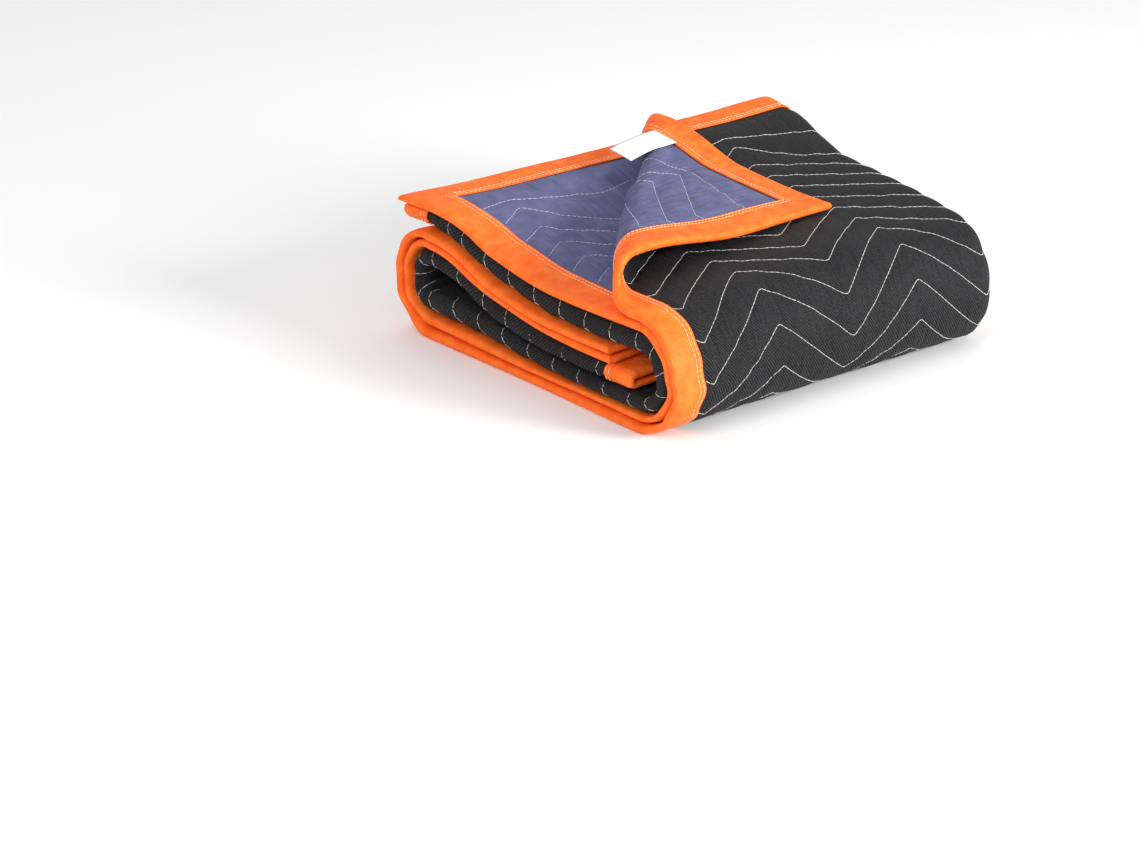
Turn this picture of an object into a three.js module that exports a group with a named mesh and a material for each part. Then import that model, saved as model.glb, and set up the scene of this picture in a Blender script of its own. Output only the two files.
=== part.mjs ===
// A quilted moving pad, folded in four and then rolled in three, with one corner turned back.
// Millimetres, +Z up, origin at the middle of its underside.
// X runs along the folded strip from its open end to its outer fold. Y runs across the roll.
import * as THREE from 'three';

// Driving dimensions
const SHEET_WIDTH = 1829; // across the pad, the way that is folded in four
const SHEET_LENGTH = 1372; // along the pad, the way that is rolled in three
const PITCH = 10.8; // from one layer of the folded strip to the next
const HALF = 4.3; // half the thickness of the quilted pad between its seams
const PANEL_GAP = 0.3; // between the face cloth and the lining
const TAPE_GAP = 0.6; // between the binding and the cloths that it grips
const BAND = 40; // the binding's width on each side of the pad
const BAND_CLOTH = 1.6; // the folded binding tape's thickness
const NOSE = 2.6; // the binding's thickness round the pad's very edge
const SEAM_DEPTH = 1.7; // how far a quilting seam draws each cloth in
const SEAM_PITCH = 40; // from one zigzag seam to the next
const ZIG_LEG = 100; // the length along X of one leg of the zigzag
const ZIG_RISE = 75; // the rise of one leg
const ZIG_START = 150; // where the zigzag's first corner is, from the pad's edge
const TAB_STEP = 27; // how far the outer layers end short of the inner ones at the rolled-in edge

// Folding in four
const STRIP = 4 * PITCH;
const FAR_RADIUS = 1.5 * PITCH;
const NEAR_RADIUS = 0.5 * PITCH;
const EDGE_STEP = 2; // the second open edge lies this far inside the first
const NEAR_FOLD_X = EDGE_STEP + 2 + NEAR_RADIUS + HALF;
const FAR_ARC = Math.PI * FAR_RADIUS;
const NEAR_ARC = Math.PI * NEAR_RADIUS;
const FAR_FOLD_X = (SHEET_WIDTH + 2 * NEAR_FOLD_X + EDGE_STEP - FAR_ARC - 2 * NEAR_ARC) / 4;
const STRAIGHT = FAR_FOLD_X - NEAR_FOLD_X; // a quarter's flat run between its folds
const LAST_QUARTER = SHEET_WIDTH - (FAR_FOLD_X - EDGE_STEP);
const WIDTH = FAR_FOLD_X + FAR_RADIUS + HALF;

// Rolling in three
const OUTER_LAYER = 3.5 * PITCH; // the outermost layer, from the strip's inner side
const ROLL_GAP = 2; // spare height round the middle run
const RIGHT_INNER = (STRIP + ROLL_GAP) / 2;
const LEFT_INNER = 10;
const HUMP_RISE = 2 * LEFT_INNER - 2; // how far a run rises over the left curl's fullness
const BULB = 110; // how far that fullness runs into the pad
const S_EDGE_SETBACK = 10; // from the left curl's outside to the top edge
const ROLLED_IN_GAP = 10; // from the right curl's middle to the rolled-in edge
const RIGHT_ARC = Math.PI * (RIGHT_INNER + OUTER_LAYER);
const LEFT_ARC = Math.PI * (LEFT_INNER + OUTER_LAYER);
const LEFT_REACH = LEFT_INNER + STRIP - S_EDGE_SETBACK;
const RUN = (SHEET_LENGTH - RIGHT_ARC - LEFT_ARC - LEFT_REACH + ROLLED_IN_GAP) / 3;
const RIGHT_OUT = RIGHT_INNER + OUTER_LAYER + HALF;
const LEFT_OUT = LEFT_INNER + OUTER_LAYER + HALF;
const DEPTH = RUN + RIGHT_OUT + LEFT_OUT;
const RIGHT_Y = RIGHT_OUT - DEPTH / 2;
const LEFT_Y = RIGHT_Y + RUN;
const TOP_RUN = RUN + LEFT_REACH;
const BASE_Z = OUTER_LAYER + HALF; // the strip's inner side on the bottom run

// The outer folds aren't square to the roll: the strip lies longer at the left curl than at the right.
const FAN = 0.1; // how much longer or shorter it is at the two curls, as a share of its length
const LONGEST = WIDTH * (1 + FAN * (1 - (2 * (S_EDGE_SETBACK + HALF)) / DEPTH)); // at the top edge

// The corner that is turned back, in the flat pad's own X and distance from its top edge
const FLAP_X = 318; // where the turn meets the top edge
const FLAP_W = 383; // where it meets the open end
const TURN_RADIUS_TOP = 9;
const TURN_RADIUS_END = 19;
const FLAP_REST = 10.6; // from the layer below to the middle of the turned corner, where it rests
const FLAP_DROOP = 175; // the distance over which it comes down to rest
const TURN = Math.hypot(FLAP_X, FLAP_W);
const TURN_DIR = [-FLAP_X / TURN, FLAP_W / TURN];
const TURN_OUT = [FLAP_W / TURN, FLAP_X / TURN];
const CONE_SLOPE = (TURN_RADIUS_END - TURN_RADIUS_TOP) / TURN;
const CONE = Math.asin(CONE_SLOPE);
const CONE_START = TURN_RADIUS_TOP / CONE_SLOPE;
const APEX = [FLAP_X - CONE_START * TURN_DIR[0], -CONE_START * TURN_DIR[1]];
const CONE_ANGLE = Math.PI * CONE_SLOPE;

// The label
const LABEL = { from: 214, to: 248, start: BAND + 1, length: 66, lift: 0.4, thick: 0.8, steps: 4 };

const EDGE = NOSE + TAPE_GAP; // from the pad's edge to the panels' edge
const BAND_END = BAND + 1.5; // where the panels start to fill out past the binding
const FULL = BAND + 10; // where they are full
const SQUASHED = HALF - BAND_CLOTH - TAPE_GAP; // half the pad's thickness under the binding

const smooth = (x) => {
  const k = Math.min(1, Math.max(0, x));
  return k * k * (3 - 2 * k);
};

// Where a point of the pad's width lies in the strip: x along it, n up through its four layers.
function acrossStrip(u) {
  let s = u;
  if (s <= FAR_FOLD_X) return { x: s, n: OUTER_LAYER };
  s -= FAR_FOLD_X;
  if (s <= FAR_ARC) return turned(FAR_FOLD_X, 2 * PITCH, FAR_RADIUS, s, 1, 1);
  s -= FAR_ARC;
  if (s <= STRAIGHT) return { x: FAR_FOLD_X - s, n: 0.5 * PITCH };
  s -= STRAIGHT;
  if (s <= NEAR_ARC) return turned(NEAR_FOLD_X, PITCH, NEAR_RADIUS, s, -1, -1);
  s -= NEAR_ARC;
  if (s <= STRAIGHT) return { x: NEAR_FOLD_X + s, n: 1.5 * PITCH };
  s -= STRAIGHT;
  if (s <= NEAR_ARC) return turned(FAR_FOLD_X, 2 * PITCH, NEAR_RADIUS, s, 1, -1);
  s -= NEAR_ARC;
  return { x: FAR_FOLD_X - s, n: 2.5 * PITCH };
}

function turned(x, n, radius, s, side, start) {
  const angle = s / radius;
  return { x: x + side * radius * Math.sin(angle), n: n + start * radius * Math.cos(angle) };
}

// The turned-back corner, a loose cone and then a flat triangle that droops to rest.
function turnBack(x, w) {
  const dx = x - APEX[0];
  const dw = w - APEX[1];
  const along = dx * TURN_DIR[0] + dw * TURN_DIR[1];
  const toCorner = -(dx * TURN_OUT[0] + dw * TURN_OUT[1]);
  if (toCorner <= 0) return { x, w, up: 0 };
  const far = Math.hypot(along, toCorner);
  const angle = Math.atan2(toCorner, along);
  let run, out, up;
  if (angle < CONE_ANGLE) {
    const round = (Math.PI * angle) / CONE_ANGLE;
    run = far * (Math.cos(CONE) ** 2 + Math.sin(CONE) ** 2 * Math.cos(round));
    out = -far * Math.sin(CONE) * Math.sin(round);
    up = far * Math.sin(CONE) * Math.cos(CONE) * (1 - Math.cos(round));
  } else {
    const rest = angle - CONE_ANGLE;
    run = far * Math.cos(rest) * Math.cos(2 * CONE);
    out = far * Math.sin(rest);
    const lift = far * Math.cos(rest) * Math.sin(2 * CONE);
    up = FLAP_REST + (lift - FLAP_REST) * (1 - smooth(out / FLAP_DROOP));
  }
  return {
    x: APEX[0] + run * TURN_DIR[0] + out * TURN_OUT[0],
    w: APEX[1] + run * TURN_DIR[1] + out * TURN_OUT[1],
    up,
  };
}

// The strip's inner side at a distance w along the roll, as a place and an outward normal.
function alongRoll(w) {
  let s = w;
  if (s <= TOP_RUN) return hump(LEFT_Y + LEFT_REACH - s, 2 * RIGHT_INNER);
  s -= TOP_RUN;
  if (s <= RIGHT_ARC) {
    const a = (Math.PI * s) / RIGHT_ARC;
    return curl(RIGHT_Y, BASE_Z + RIGHT_INNER, RIGHT_INNER, -Math.sin(a), Math.cos(a));
  }
  s -= RIGHT_ARC;
  if (s <= RUN) return { y: RIGHT_Y + s, z: BASE_Z, ny: 0, nz: -1 };
  s -= RUN;
  if (s <= LEFT_ARC) {
    const a = (Math.PI * s) / LEFT_ARC;
    return curl(LEFT_Y, BASE_Z + LEFT_INNER, LEFT_INNER, Math.sin(a), -Math.cos(a));
  }
  s -= LEFT_ARC;
  return hump(LEFT_Y - s, ROLL_GAP / 2);
}

function curl(y, z, radius, ny, nz) {
  return { y: y + radius * ny, z: z + radius * nz, ny, nz };
}

// A run that rises over the left curl's fullness
function hump(y, low) {
  const k = Math.min(1, Math.max(0, (y - LEFT_Y + BULB) / BULB));
  const slope = (HUMP_RISE * 6 * k * (1 - k)) / BULB;
  const size = Math.hypot(1, slope);
  return { y, z: BASE_Z + low + HUMP_RISE * smooth(k), ny: -slope / size, nz: 1 / size };
}

// The middle of the pad's thickness at a point of the flat pad
function middle(u, v) {
  const at = acrossStrip(u);
  const ends = (TAB_STEP * smooth(at.n / PITCH - 1.5) * v * v) / (SHEET_LENGTH * SHEET_LENGTH);
  const turn = u < FAR_FOLD_X ? turnBack(at.x, v) : { x: at.x, w: v, up: 0 };
  const base = alongRoll(turn.w - ends);
  const n = at.n + turn.up;
  return new THREE.Vector3(turn.x, base.y + n * base.ny, base.z + n * base.nz);
}

// Fans the strip out towards the left curl and puts the origin in the middle of its length
function fanned(p) {
  p.x = p.x * (1 + (2 * FAN * p.y) / DEPTH) - LONGEST / 2;
  return p;
}

// A point at a height t above the middle, on the face side where t is positive
function onPad(u, v, t) {
  const step = 0.05;
  const du = middle(u + step, v).sub(middle(u - step, v));
  const dv = middle(u, v + step).sub(middle(u, v - step));
  return fanned(middle(u, v).addScaledVector(dv.cross(du).normalize(), t));
}

// Quilting: how far a zigzag seam strays from straight at u, and how much of that shows at a row.
// The rows straighten towards the bound edges and under the roll.
function zigzag(u) {
  const leg = ((((u - ZIG_START) / ZIG_LEG) % 2) + 2) % 2;
  const inside = smooth((Math.min(u, SHEET_WIDTH - u) - FULL) / END_FADE);
  return inside * ZIG_RISE * ((leg < 1 ? leg : 2 - leg) - 0.5);
}

const END_FADE = 20; // over which the rows straighten at the pad's two ends
const TOP_FADE = 80; // at its top edge
const UNDER_FADE = 100; // and under the roll
const QUILTED_END = TOP_RUN + RIGHT_ARC;
const fade = (row) => smooth((row - FULL) / TOP_FADE) * smooth((QUILTED_END - row) / UNDER_FADE);
const rowHeight = (u, row) => row + zigzag(u) * fade(row);

// The straight row that a point of the flat pad belongs to
function rowOf(u, v) {
  let row = v;
  for (let k = 0; k < 30; k++) row = v - zigzag(u) * fade(row);
  return row;
}

const seamCount = (u, v) => rowOf(u, v) / SEAM_PITCH;

function halfThickness(u, v) {
  const edge = Math.min(u, SHEET_WIDTH - u, v, SHEET_LENGTH - v);
  if (edge <= BAND_END + 0.01) return SQUASHED;
  const onTop = u < FAR_FOLD_X - 1 && v < QUILTED_END;
  const underFlap = u > LAST_QUARTER + 1 && v < FLAP_W + SEAM_PITCH / 2;
  if (!onTop && !underFlap) return HALF;
  return HALF - SEAM_DEPTH * (1 - Math.abs(Math.sin(Math.PI * seamCount(u, v))));
}

// Ribs of points over the flat pad. Each point is [u, v, how far along its rib it counts].
const CURL_STEPS = 8;
const LEFT_STEPS = 7;
const FAR_STEPS = 6;
const NEAR_STEPS = 4;
const ROLL_STEPS = 7; // over the turned corner's roll
const FLAT_STEPS = 8; // over its flat part
const COLUMN_STEP = ZIG_LEG / 3;
const ROW_MARGIN = 6; // the least distance between a seam's row and the first or last row
const COLUMN_MARGIN = 12; // the same between columns
const TURN_MARGIN = 5; // from the start of the corner's turn to the plain columns
const LONGEST_STEP = 34; // between points over the turned corner
const SHORTEST_STEP = 8;

function curlRows() {
  const rows = [];
  for (let k = 0; k <= CURL_STEPS; k++) rows.push(TOP_RUN + (RIGHT_ARC * k) / CURL_STEPS);
  return rows;
}

const BULB_ROWS = [0.25, 0.5, 0.75, 1].map((k) => LEFT_REACH + BULB * k);
const RETURN = TOP_RUN + RIGHT_ARC + RUN;

function lateRows() {
  const rows = [];
  for (let k = 0; k <= LEFT_STEPS; k++) rows.push(RETURN + (LEFT_ARC * k) / LEFT_STEPS);
  const middleRun = RETURN + LEFT_ARC;
  for (const k of [0.3, 0.6, 1]) rows.push(middleRun + BULB * k);
  rows.push(SHEET_LENGTH - FULL, SHEET_LENGTH - BAND_END, SHEET_LENGTH - EDGE);
  return rows;
}

// Rows of seams and of the ridges between them, from one row to another
function seamRows(from, to) {
  const rows = [];
  const step = SEAM_PITCH / 2;
  for (let k = Math.ceil((from + ROW_MARGIN) / step); k * step < to - ROW_MARGIN; k++) {
    rows.push(k * step);
  }
  return rows;
}

const column = (u, rows) => rows.map((row) => [u, rowHeight(u, row), row]);

function topColumn(u) {
  const start = Math.max(EDGE, FLAP_W * (1 - u / FLAP_X) + TURN_MARGIN);
  const head = [BAND_END, FULL].filter((row) => row > start + 0.01);
  const from = Math.max(FULL, rowOf(u, start));
  const rows = [...head, ...seamRows(from, QUILTED_END), QUILTED_END, ...lateRows()];
  return [[u, start, rowOf(u, start)], ...column(u, rows)];
}

// Over a fold. The rows are straight at the two inner folds, which are plain.
function foldColumn(u) {
  const rows = [EDGE, BAND_END, FULL, ...BULB_ROWS, ...curlRows(), ...lateRows()];
  return u > FAR_FOLD_X + FAR_ARC ? rows.map((row) => [u, row, row]) : column(u, rows);
}

function lastColumn(u) {
  const shown = seamRows(FULL, TOP_RUN);
  return column(u, [EDGE, BAND_END, FULL, ...shown, ...curlRows(), ...lateRows()]);
}

const turnLineX = (v) => FLAP_X * (1 - (v - TURN_MARGIN) / FLAP_W);

function topColumns() {
  const found = [EDGE, BAND_END, FULL];
  const turnAt = turnLineX(FULL);
  for (let u = FULL + COLUMN_STEP; u < turnAt - COLUMN_MARGIN; u += COLUMN_STEP) found.push(u);
  found.push(turnAt, turnLineX(BAND_END), turnLineX(EDGE));
  const past = ZIG_START + ZIG_LEG * Math.ceil((FLAP_X - ZIG_START) / ZIG_LEG);
  for (let u = past; u < FAR_FOLD_X - COLUMN_MARGIN; u += COLUMN_STEP) found.push(u);
  return found.map(topColumn);
}

function foldColumns(start, arc, steps) {
  const found = [];
  for (let k = 0; k <= steps; k++) found.push(foldColumn(start + (arc * k) / steps));
  return found;
}

function lastColumns() {
  const found = [];
  const past = LAST_QUARTER + ZIG_LEG / 2 - ZIG_START;
  const first = ZIG_START + ZIG_LEG * Math.ceil(past / ZIG_LEG);
  const end = SHEET_WIDTH - FULL - COLUMN_MARGIN;
  for (let u = first; u < end; u += ZIG_LEG / 2) found.push(u);
  return [...found, SHEET_WIDTH - FULL, SHEET_WIDTH - BAND_END, SHEET_WIDTH - EDGE].map(lastColumn);
}

function columns() {
  const nearFold = FAR_FOLD_X + FAR_ARC + STRAIGHT;
  const innerFold = nearFold + NEAR_ARC + STRAIGHT;
  return [
    ...topColumns(),
    ...foldColumns(FAR_FOLD_X, FAR_ARC, FAR_STEPS),
    ...foldColumns(nearFold, NEAR_ARC, NEAR_STEPS),
    ...foldColumns(innerFold, NEAR_ARC, NEAR_STEPS),
    ...lastColumns(),
  ];
}

// Where the turned corner's ruling at an angle from the turn line crosses v or u
function rulingAt(angle, axis, value) {
  const dir = [
    TURN_DIR[0] * Math.cos(angle) - TURN_OUT[0] * Math.sin(angle),
    TURN_DIR[1] * Math.cos(angle) - TURN_OUT[1] * Math.sin(angle),
  ];
  const far = (value - APEX[axis]) / dir[axis];
  return [APEX[0] + far * dir[0], APEX[1] + far * dir[1]];
}

const cornerAngle = Math.atan2(
  -((FULL - APEX[0]) * TURN_OUT[0] + (FULL - APEX[1]) * TURN_OUT[1]),
  (FULL - APEX[0]) * TURN_DIR[0] + (FULL - APEX[1]) * TURN_DIR[1],
);

function flapAngles() {
  const angles = [];
  for (let k = 0; k <= ROLL_STEPS; k++) angles.push((CONE_ANGLE * k) / ROLL_STEPS);
  const left = cornerAngle - CONE_ANGLE;
  for (let k = 1; k <= FLAT_STEPS; k++) angles.push(CONE_ANGLE + (left * k) / FLAT_STEPS);
  return angles;
}

function ruling(angle) {
  const ends = [EDGE, BAND_END, FULL];
  const head = ends.map((v) => rulingAt(angle, 1, v));
  const tail = [...ends].reverse().map((u) => rulingAt(angle, 0, u));
  const between = seamCrossings(head[2], tail[0]);
  return [...head, ...between, ...tail].filter(isNew).map(([u, v]) => [u, v, flapCount(u, v)]);
}

// How far along its ruling a point of the turned corner counts, with the two bound bands apart
function flapCount(u, v) {
  const far = 1000;
  if (v < FULL + 0.01) return v - far;
  if (u < FULL + 0.01) return far - u;
  return (v - FULL) / (v - FULL + ((u - FULL) * FLAP_W) / FLAP_X);
}

const apart = (a, b) => Math.hypot(a[0] - b[0], a[1] - b[1]);
const isNew = (p, i, all) => i === 0 || apart(p, all[i - 1]) > 0.1;

// Points on the way from one to another where a seam or ridge is crossed, and between far ones
function seamCrossings(from, to) {
  const found = [from];
  const steps = Math.ceil(apart(from, to));
  const at = (k) => [0, 1].map((i) => from[i] + ((to[i] - from[i]) * k) / steps);
  for (let k = 1; k < steps; k++) {
    const crossed = Math.floor(2 * seamCount(...at(k))) !== Math.floor(2 * seamCount(...at(k - 1)));
    const gap = apart(at(k), found.at(-1));
    const clear = Math.min(gap, apart(at(k), to)) > SHORTEST_STEP;
    if (clear && (crossed || gap > LONGEST_STEP)) found.push(at(k));
  }
  return found.slice(1);
}

// Fills the space between two ribs with triangles, in step with their counts.
function zip(a, b, triangles) {
  let i = 0;
  let j = 0;
  while (i < a.length - 1 || j < b.length - 1) {
    const ahead = j < b.length - 1 ? b[j + 1].key + b[j].key + 1e-6 : Infinity;
    const stepA = i < a.length - 1 && a[i + 1].key + a[i].key <= ahead;
    if (stepA) triangles.push([a[i].id, a[i + 1].id, b[j].id]);
    else triangles.push([a[i].id, b[j + 1].id, b[j].id]);
    if (stepA) i += 1;
    else j += 1;
  }
}

// The flat pad's mesh: points [u, v] and triangles, which both cloths share
function flatMesh() {
  const points = [];
  const found = new Map();
  const put = ([u, v, key]) => {
    const name = `${u.toFixed(2)},${v.toFixed(2)}`;
    if (!found.has(name)) {
      found.set(name, points.length);
      points.push([u, v]);
    }
    return { id: found.get(name), key };
  };
  const triangles = [];
  const ribs = columns().map((rib) => rib.map(put));
  for (let i = 1; i < ribs.length; i++) zip(ribs[i - 1], ribs[i], triangles);
  const starts = columns()
    .map((rib) => rib[0])
    .filter(([u]) => u < turnLineX(EDGE) + 0.01)
    .reverse()
    .map(([u, v]) => put([u, v, flapCount(u, v)]));
  const fan = [starts, ...flapAngles().map((angle) => ruling(angle).map(put))];
  for (let i = 1; i < fan.length; i++) zip(fan[i - 1], fan[i], triangles);
  closeCorner(fan[fan.length - 1], put, triangles);
  const real = triangles.filter((t) => new Set(t).size === 3);
  return { points, triangles: real.map((t) => anticlockwise(points, t)) };
}

function closeCorner(last, put, triangles) {
  const corners = [[BAND_END, EDGE], [BAND_END, BAND_END], [EDGE, BAND_END]];
  const inner = corners.map(([u, v]) => put([u, v, 0]));
  const tip = put([EDGE, EDGE, 0]);
  const half = (last.length - 1) / 2;
  last.forEach((p, i) => { p.key = i <= half ? i / half / 2 : 0.5 + (i - half) / half / 2; });
  inner.forEach((p, i) => { p.key = i / 2; });
  zip(last, inner, triangles);
  triangles.push([inner[0].id, inner[1].id, tip.id], [inner[1].id, inner[2].id, tip.id]);
}

function anticlockwise(points, [a, b, c]) {
  const [p, q, r] = [points[a], points[b], points[c]];
  const area = (q[0] - p[0]) * (r[1] - p[1]) - (q[1] - p[1]) * (r[0] - p[0]);
  return area > 0 ? [a, b, c] : [a, c, b];
}

// A closed body from points and triangles, turned outward
function body(vertices, triangles) {
  let volume = 0;
  for (const [a, b, c] of triangles) {
    volume += vertices[a].dot(new THREE.Vector3().crossVectors(vertices[b], vertices[c]));
  }
  const outward = volume < 0 ? triangles.map(([a, b, c]) => [a, c, b]) : triangles;
  const geometry = new THREE.BufferGeometry();
  const numbers = vertices.flatMap((p) => p.toArray());
  geometry.setAttribute('position', new THREE.Float32BufferAttribute(numbers, 3));
  geometry.setIndex(outward.flat());
  geometry.computeVertexNormals();
  return geometry;
}

// One cloth of the pad, between two heights over the flat mesh
function panel(mesh, low, high) {
  const count = mesh.points.length;
  const at = (height) => mesh.points.map(([u, v]) => onPad(u, v, height(u, v)));
  const triangles = [];
  const edges = new Map();
  for (const [a, b, c] of mesh.triangles) {
    triangles.push([a, b, c], [a + count, c + count, b + count]);
    for (const [p, q] of [[a, b], [b, c], [c, a]]) {
      if (!edges.delete(`${q},${p}`)) edges.set(`${p},${q}`, [p, q]);
    }
  }
  for (const [p, q] of edges.values()) {
    triangles.push([q, p, p + count], [q, p + count, q + count]);
  }
  return body([...at(low), ...at(high)], triangles);
}

// Binding tape folded over one edge: its section as [distance in from the edge, height]
const TAPE_SECTION = [
  [BAND, HALF],
  [5, HALF],
  [1.2, 3],
  [0, 0],
  [1.2, -3],
  [5, -HALF],
  [BAND, -HALF],
  [BAND, BAND_CLOTH - HALF],
  [NOSE, BAND_CLOTH - HALF],
  [NOSE, HALF - BAND_CLOTH],
  [BAND, HALF - BAND_CLOTH],
];

function binding(stations) {
  const size = TAPE_SECTION.length;
  const vertices = stations.flatMap((place) => TAPE_SECTION.map(([e, t]) => onPad(...place(e), t)));
  const triangles = [];
  for (let i = 0; i + 1 < stations.length; i++) {
    for (let k = 0; k < size; k++) {
      const next = (k + 1) % size;
      const [a, b] = [i * size + k, i * size + next];
      const inward = TAPE_SECTION[next][0] > TAPE_SECTION[k][0];
      if (inward) triangles.push([a, b, b + size], [a, b + size, a + size]);
      else triangles.push([a, b, a + size], [b, b + size, a + size]);
    }
  }
  const outline = TAPE_SECTION.map(([e, t]) => new THREE.Vector2(e, t));
  const last = (stations.length - 1) * size;
  for (const [a, b, c] of THREE.ShapeUtils.triangulateShape(outline, [])) {
    triangles.push([a, c, b], [last + a, last + b, last + c]);
  }
  return body(vertices, triangles);
}

const CORNER_GAP = 0.25; // half the gap between two tapes where they meet at a corner
const mitreFrom = (side) => (e) => (side === 0 ? [e + CORNER_GAP, e] : [e, e + CORNER_GAP]);

function topEdgeStations() {
  const rulings = flapAngles().reverse().map((angle) => (e) => rulingAt(angle, 1, e));
  const plain = columns()
    .map((rib) => rib[0][0])
    .filter((u) => u > turnLineX(EDGE) - 0.01 && u < SHEET_WIDTH - BAND_END - 1)
    .map((u) => (e) => [u, e]);
  const end = (e) => [SHEET_WIDTH - e - CORNER_GAP, e];
  return [mitreFrom(0), (e) => [BAND_END, e], ...rulings, ...plain, end];
}

function rolledInEdgeStations() {
  const plain = columns()
    .map((rib) => rib[0][0])
    .filter((u) => u > BAND_END + 1 && u < SHEET_WIDTH - BAND_END - 1)
    .map((u) => (e) => [u, SHEET_LENGTH - e]);
  const first = (e) => [e + CORNER_GAP, SHEET_LENGTH - e];
  const end = (e) => [SHEET_WIDTH - e - CORNER_GAP, SHEET_LENGTH - e];
  return [first, ...plain, end];
}

function firstEdgeStations() {
  const rulings = flapAngles().reverse().map((angle) => (e) => rulingAt(angle, 0, e));
  const plain = columns()[0]
    .map(([, v]) => v)
    .filter((v) => v > FLAP_W && v < SHEET_LENGTH - BAND_END - 1)
    .map((v) => (e) => [e, v]);
  const end = (e) => [e, SHEET_LENGTH - e - CORNER_GAP];
  return [mitreFrom(1), (e) => [e, BAND_END], ...rulings, ...plain, end];
}

function lastEdgeStations() {
  const rib = columns().at(-1);
  const plain = rib
    .map(([, v]) => v)
    .filter((v) => v > BAND_END + 1 && v < SHEET_LENGTH - BAND_END - 1)
    .map((v) => (e) => [SHEET_WIDTH - e, v]);
  const first = (e) => [SHEET_WIDTH - e, e + CORNER_GAP];
  const end = (e) => [SHEET_WIDTH - e, SHEET_LENGTH - e - CORNER_GAP];
  return [first, ...plain, end];
}

// The label, sewn in at the binding's inner edge. It stands off straight where the cloth turns.
function label() {
  const { from, to, start, length, lift, thick, steps } = LABEL;
  const root = onPad((from + to) / 2, start, -HALF);
  const ahead = onPad((from + to) / 2, start + length / 5, -HALF).sub(root).normalize();
  const across = onPad(to, start, -HALF).sub(onPad(from, start, -HALF)).normalize();
  const up = new THREE.Vector3().crossVectors(across, ahead).normalize();
  if (up.z < 0) up.negate();
  const section = [[-0.5, lift], [0.5, lift], [0.5, lift + thick], [-0.5, lift + thick]];
  const vertices = [];
  for (let k = 0; k <= steps; k++) {
    const middleOf = root.clone().addScaledVector(ahead, (length * k) / steps);
    for (const [side, high] of section) {
      const point = middleOf.clone().addScaledVector(across, side * (to - from));
      vertices.push(point.addScaledVector(up, high));
    }
  }
  return body(vertices, stripTriangles(steps));
}

// Four-sided strip, closed at both ends
function stripTriangles(steps) {
  const triangles = [];
  for (let k = 0; k < steps; k++) {
    for (let c = 0; c < 4; c++) {
      const [a, b] = [k * 4 + c, k * 4 + ((c + 1) % 4)];
      triangles.push([a, b, a + 4], [b, b + 4, a + 4]);
    }
  }
  const end = steps * 4;
  triangles.push([0, 2, 1], [0, 3, 2], [end, end + 1, end + 2], [end, end + 2, end + 3]);
  return triangles;
}

const cloth = (color, roughness) => new THREE.MeshStandardMaterial({ color, roughness, metalness: 0 });
const FACE_CLOTH = cloth('#2f2f31', 0.85);
const LINING_CLOTH = cloth('#5d5e8c', 0.9);
const BINDING_TAPE = cloth('#f9742c', 0.75);
const LABEL_TAPE = cloth('#f1f1ee', 0.6);

const pad = new THREE.Group();

function add(name, geometry, material) {
  const mesh = new THREE.Mesh(geometry, material);
  mesh.name = name;
  pad.add(mesh);
}

const flat = flatMesh();
add('face_panel', panel(flat, () => PANEL_GAP / 2, halfThickness), FACE_CLOTH);
add('lining_panel', panel(flat, (u, v) => -halfThickness(u, v), () => -PANEL_GAP / 2), LINING_CLOTH);
add('binding_top_edge', binding(topEdgeStations()), BINDING_TAPE);
add('binding_rolled_in_edge', binding(rolledInEdgeStations()), BINDING_TAPE);
add('binding_first_edge', binding(firstEdgeStations()), BINDING_TAPE);
add('binding_second_edge', binding(lastEdgeStations()), BINDING_TAPE);
add('label', label(), LABEL_TAPE);

export default pad;
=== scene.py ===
# %% [markdown]
# # A quilted moving pad, folded and rolled
# A moving pad is two cloths with wadding between them, quilted together with zigzag rows of
# stitches and bound all round with an orange tape. This one is folded in four, then rolled in
# three, and one corner is turned back to show its lining. The lesson builds each sewn piece flat,
# as it is cut, and then carries every point through the same folds, so the pieces stay together as
# real ones do.

import math

import bpy
import numpy as np
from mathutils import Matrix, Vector


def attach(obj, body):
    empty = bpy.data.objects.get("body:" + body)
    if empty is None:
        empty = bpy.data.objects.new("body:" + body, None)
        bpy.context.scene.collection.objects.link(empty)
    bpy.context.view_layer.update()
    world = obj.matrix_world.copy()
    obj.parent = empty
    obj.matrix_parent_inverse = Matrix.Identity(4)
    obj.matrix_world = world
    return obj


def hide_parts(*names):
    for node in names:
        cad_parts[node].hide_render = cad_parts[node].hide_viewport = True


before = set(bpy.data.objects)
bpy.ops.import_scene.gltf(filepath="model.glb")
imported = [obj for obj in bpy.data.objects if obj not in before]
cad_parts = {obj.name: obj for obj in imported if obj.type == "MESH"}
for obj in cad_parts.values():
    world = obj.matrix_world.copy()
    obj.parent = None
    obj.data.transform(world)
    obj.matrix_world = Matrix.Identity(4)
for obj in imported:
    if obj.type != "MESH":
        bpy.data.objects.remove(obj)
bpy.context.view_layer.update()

# %% [markdown]
# ## The camera
# The photograph was taken with a long lens, from a little above, with the open end of the folds on
# the left and the smooth curl on the right. The camera stands where the measured angles put it and
# is turned until the pad falls on its own place in the picture, which keeps the lens unshifted.

# %% Camera
PICTURE = (1140, 855)
AZIMUTH, ELEVATION = math.radians(-40.2), math.radians(19.6)
FOCAL_PX = 4000.0
DISTANCE = 4.05
AIM_POINT = Vector((-0.022, 0.0, 0.07))
AIM_PX = (710.0, 267.0)

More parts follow.
